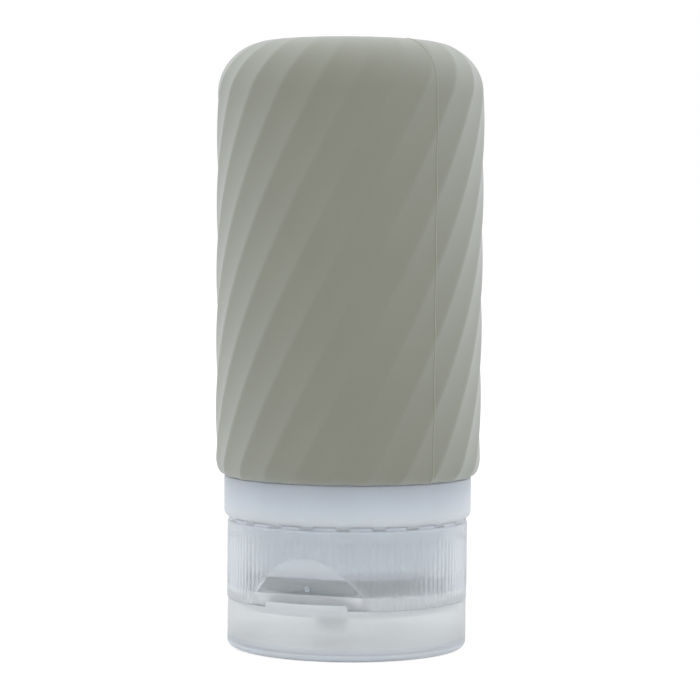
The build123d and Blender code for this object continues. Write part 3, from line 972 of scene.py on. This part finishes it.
print("hinge strap")
strapPiece = solidOf("hingeStrap", [(strapPoints(), False)])
fit(strapPiece, None, ["frostedPlastic"], "cap", "living_hinge")
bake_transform(strapPiece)

# Pieces inside the cap: valve, retainer and liner

valve = {
    "flange": 3.4,
    "flangeHeight": 0.8,
    "sleeve": 2.05,
    "bore": 1.6,
    "end": 4.95,
    "endWall": 0.45,
    "slitLength": 2.2,
    "slitWidth": 0.09,
    "slitDepth": 0.3,
    "slitFade": (0.1, 0.05),   # the slit runs out from this far inside its length to this far outside
    "firstRow": 0.06,
    "slitRows": 15,
    "columns": 96,
}
retainer = {
    "radius": 16.4,
    "height": 1.0,
    "ringRadius": 12.7,
    "ringWall": 0.6,
    "ringHeight": 0.6,
    "port": 1.5,
    "columns": 180,
}
liner = {
    "radius": 16.4,
    "bore": 12.8,
    "height": 1.0,
    "round": 0.15,
    "columns": 180,
}


def valvePoints():
    # a flanged sleeve with a thin end; the cross slit is a groove along x and y, with a bell-shaped section
    v = valve
    columns = turns(v["columns"])
    small, top = shared["edge"], shared["deckInside"] - shared["slip"]
    slitEnd = v["slitLength"] / 2
    fadeIn, fadeOut = v["slitFade"]
    rows = []
    for radius in np.linspace(v["firstRow"], slitEnd + fadeIn, v["slitRows"]):
        away = np.minimum(np.abs(radius * np.cos(columns)), np.abs(radius * np.sin(columns)))
        inside = 1 - smoothStep(radius, slitEnd - fadeIn, slitEnd + fadeOut)
        groove = v["slitDepth"] * inside * np.exp(-(away / v["slitWidth"]) ** 2)
        rows.append((radius, v["end"] + groove))
    rows += arc(v["sleeve"] - small, v["end"] + small, small, -90, 0, steps=2)
    rows += [(v["sleeve"], top - v["flangeHeight"])]
    rows += arc(v["flange"] - small, top - v["flangeHeight"] + small, small, -90, 0, steps=2)
    rows += arc(v["flange"] - small, top - small, small, 0, 90, steps=2)
    rows += [(v["bore"] + small, top), (v["bore"], top - small)]
    rows += [(v["bore"], v["end"] + v["endWall"]), (v["bore"] / 3, v["end"] + v["endWall"])]
    return placed(columns, stack(columns, atSpout(rows)))


def retainerPoints():
    # a closed section round the port: plate, and the ring that centres the liner
    r = retainer
    columns = turns(r["columns"])
    small, foot = shared["edge"], shared["deckInside"] + shared["slip"]
    top = shared["deckInside"] + r["height"]
    ringTop, ringInside = top + r["ringHeight"], r["ringRadius"] - r["ringWall"]
    rows = atSpout([(r["port"], top), (r["port"], foot)]) + [(r["radius"] - small, foot)]
    rows += arc(r["radius"] - small, foot + small, small, -90, 0, steps=2)
    rows += arc(r["radius"] - small, top - small, small, 0, 90, steps=2)
    rows += [(r["ringRadius"], top), (r["ringRadius"], ringTop - small), (r["ringRadius"] - small, ringTop)]
    rows += [(ringInside + small, ringTop), (ringInside, ringTop - small), (ringInside, top)]
    return placed(columns, stack(columns, rows))


def linerPoints():
    # a flat ring with rounded edges
    l = liner
    columns = turns(l["columns"])
    size, outer, inner = l["round"], l["radius"] - l["round"], l["bore"] + l["round"]
    foot = shared["deckInside"] + retainer["height"] + shared["seat"]
    low, high = foot + size, foot + l["height"] - size
    rows = arc(outer, low, size, -90, 0) + arc(outer, high, size, 0, 90)
    rows += arc(inner, high, size, 90, 180) + arc(inner, low, size, 180, 270)
    return placed(columns, stack(columns, rows))


print("valve, retainer and liner")
fit(solidOf("slitValve", [(valvePoints(), False)]), "cap", ["valveSilicone"], "valve", "slit_valve")
fit(solidOf("valveRetainer", [(retainerPoints(), True)]), "cap", ["retainerPlastic"], "retainer",
    "valve_retainer")
fit(solidOf("sealingLiner", [(linerPoints(), True)]), "liner", ["linerFoam"], "liner", "sealing_liner")

# Studio

studio = {
    "roomColour": (1, 1, 1, 1),
    "roomStrength": 1.0,
    "floorSize": 6.0,
    "floorDrop": 0.00005,
    "floorColour": (0.80, 0.80, 0.80, 1),
    "floorSeen": (0.24, 0.24, 0.24, 1),    # its colour where it is seen
    "floorGlow": 0.82,                     # and the white that is added there
    "floorRoughness": 0.9,
    "sideSize": 0.9,
    "leftPower": 0.87,
    "rightPower": 0.66,
    "sideColour": (0.93, 0.97, 1.0),
    "sideDistance": 0.75,
    "sideBack": 0.12,
    "sideHeight": 0.25,
    "sideAim": 0.06,
    "overSize": 1.0,
    "overPower": 5.2,
    "overColour": (1, 1, 1),
    "overHeight": 1.0,
    "overBack": 0.1,
}
cameraLook = {
    "azimuth": 20.5,         # from straight in front, towards +X
    "distance": 0.44755,     # along the ground, from the bottle's axis
    "height": 0.06993,
    "aimHeight": 0.0510,
    "aimSide": 0.0002,       # how far right of the axis it aims
    "roll": 0.5,
    "lens": 133.6,
    "sensor": 36.0,
    "clip": (0.01, 20.0),
}


def setFacing(item, place, aim, roll=0.0):
    # stands an object at a place, turns it to face a point, and rolls it about that line
    place = np.array(place, float)
    backward = place - np.array(aim, float)
    backward /= np.linalg.norm(backward)
    side = np.cross([0, 0, 1.0], backward)
    side /= np.linalg.norm(side)
    up = np.cross(backward, side)
    rolledSide = side * np.cos(roll) + up * np.sin(roll)
    rolledUp = up * np.cos(roll) - side * np.sin(roll)
    axes = Matrix(np.stack([rolledSide, rolledUp, backward], axis=1).tolist())
    item.matrix_world = Matrix.Translation(place.tolist()) @ axes.to_4x4()


def addPanel(name, place, aim, size, power, colour):
    # a square soft light that faces a point
    light = bpy.data.lights.new(name, "AREA")
    light.shape = "SQUARE"
    light.size = size
    light.energy = power
    light.color = colour
    panel = addObject(name, light)
    setFacing(panel, place, aim)
    panel.visible_glossy = False      # shiny surfaces show the white room instead


def addPanels():
    # one panel at each side of the bottle, as the camera sees it, and one above
    s = studio
    turn = np.radians(cameraLook["azimuth"])
    right = np.array([np.cos(turn), np.sin(turn), 0]) * s["sideDistance"]
    behind = np.array([-np.sin(turn), np.cos(turn), 0]) * s["sideBack"]
    for name, way, power in (("leftPanel", -1, s["leftPower"]), ("rightPanel", 1, s["rightPower"])):
        place = right * way + behind + [0, 0, s["sideHeight"]]
        addPanel(name, place, (0, 0, s["sideAim"]), s["sideSize"], power, s["sideColour"])
    overPlace = (0, s["overBack"], s["overHeight"])
    addPanel("overPanel", overPlace, (0, 0, 0), s["overSize"], s["overPower"], s["overColour"])


def makeRoom():
    # the same white from every side
    world = bpy.data.worlds.new("softRoom")
    bpy.context.scene.world = world
    world.use_nodes = True
    background = world.node_tree.nodes["Background"]
    background.inputs["Color"].default_value = studio["roomColour"]
    background.inputs["Strength"].default_value = studio["roomStrength"]


def seenDirectly(add):
    # 1 for rays from the camera, and for those that shiny and see-through surfaces pass on
    path = add("ShaderNodeLightPath")
    value = path.outputs["Is Camera Ray"]
    for other in ("Is Glossy Ray", "Is Transmission Ray"):
        larger = add("ShaderNodeMath", {0: value, 1: path.outputs[other]}, operation="MAXIMUM")
        value = larger.outputs["Value"]
    return value


def makeFloor():
    # a wide plane just under the lid; paler where it is seen, so that it meets the white behind it
    half = studio["floorSize"] / 2
    mesh = bpy.data.meshes.new("floor")
    corners = [(-half, -half), (half, -half), (half, half), (-half, half)]
    mesh.from_pydata([(x, y, -studio["floorDrop"]) for x, y in corners], [], [(0, 1, 2, 3)])
    floor = addObject("floor", mesh)
    material, shader, add, link = newFinish("paleFloor")
    seen = seenDirectly(add)
    colours = {"Factor": seen, "A": studio["floorColour"], "B": studio["floorSeen"]}
    link(add("ShaderNodeMix", colours, data_type="RGBA").outputs["Result"], shader.inputs["Base Color"])
    link(spread(add, seen, 0.0, studio["floorGlow"], 0.0, 1.0), shader.inputs["Emission Strength"])
    shader.inputs["Emission Color"].default_value = (1, 1, 1, 1)
    shader.inputs["Roughness"].default_value = studio["floorRoughness"]
    shader.inputs["Specular IOR Level"].default_value = 0.0
    mesh.materials.append(material)


def makeCamera():
    # stands at the azimuth and distance, looks at the aim point, and is rolled a little
    c = cameraLook
    turn = np.radians(c["azimuth"])
    place = np.array([np.sin(turn) * c["distance"], -np.cos(turn) * c["distance"], c["height"]])
    aim = np.array([np.cos(turn), np.sin(turn), 0]) * c["aimSide"] + [0, 0, c["aimHeight"]]
    data = bpy.data.cameras.new("camera")
    data.lens = c["lens"]
    data.sensor_width = c["sensor"]
    data.clip_start, data.clip_end = c["clip"]
    camera = addObject("camera", data)
    setFacing(camera, place, aim, np.radians(c["roll"]))
    bpy.context.scene.camera = camera


print("studio")
makeRoom()
makeFloor()
makeCamera()
addPanels()
bpy.context.scene.view_settings.view_transform = "Standard"
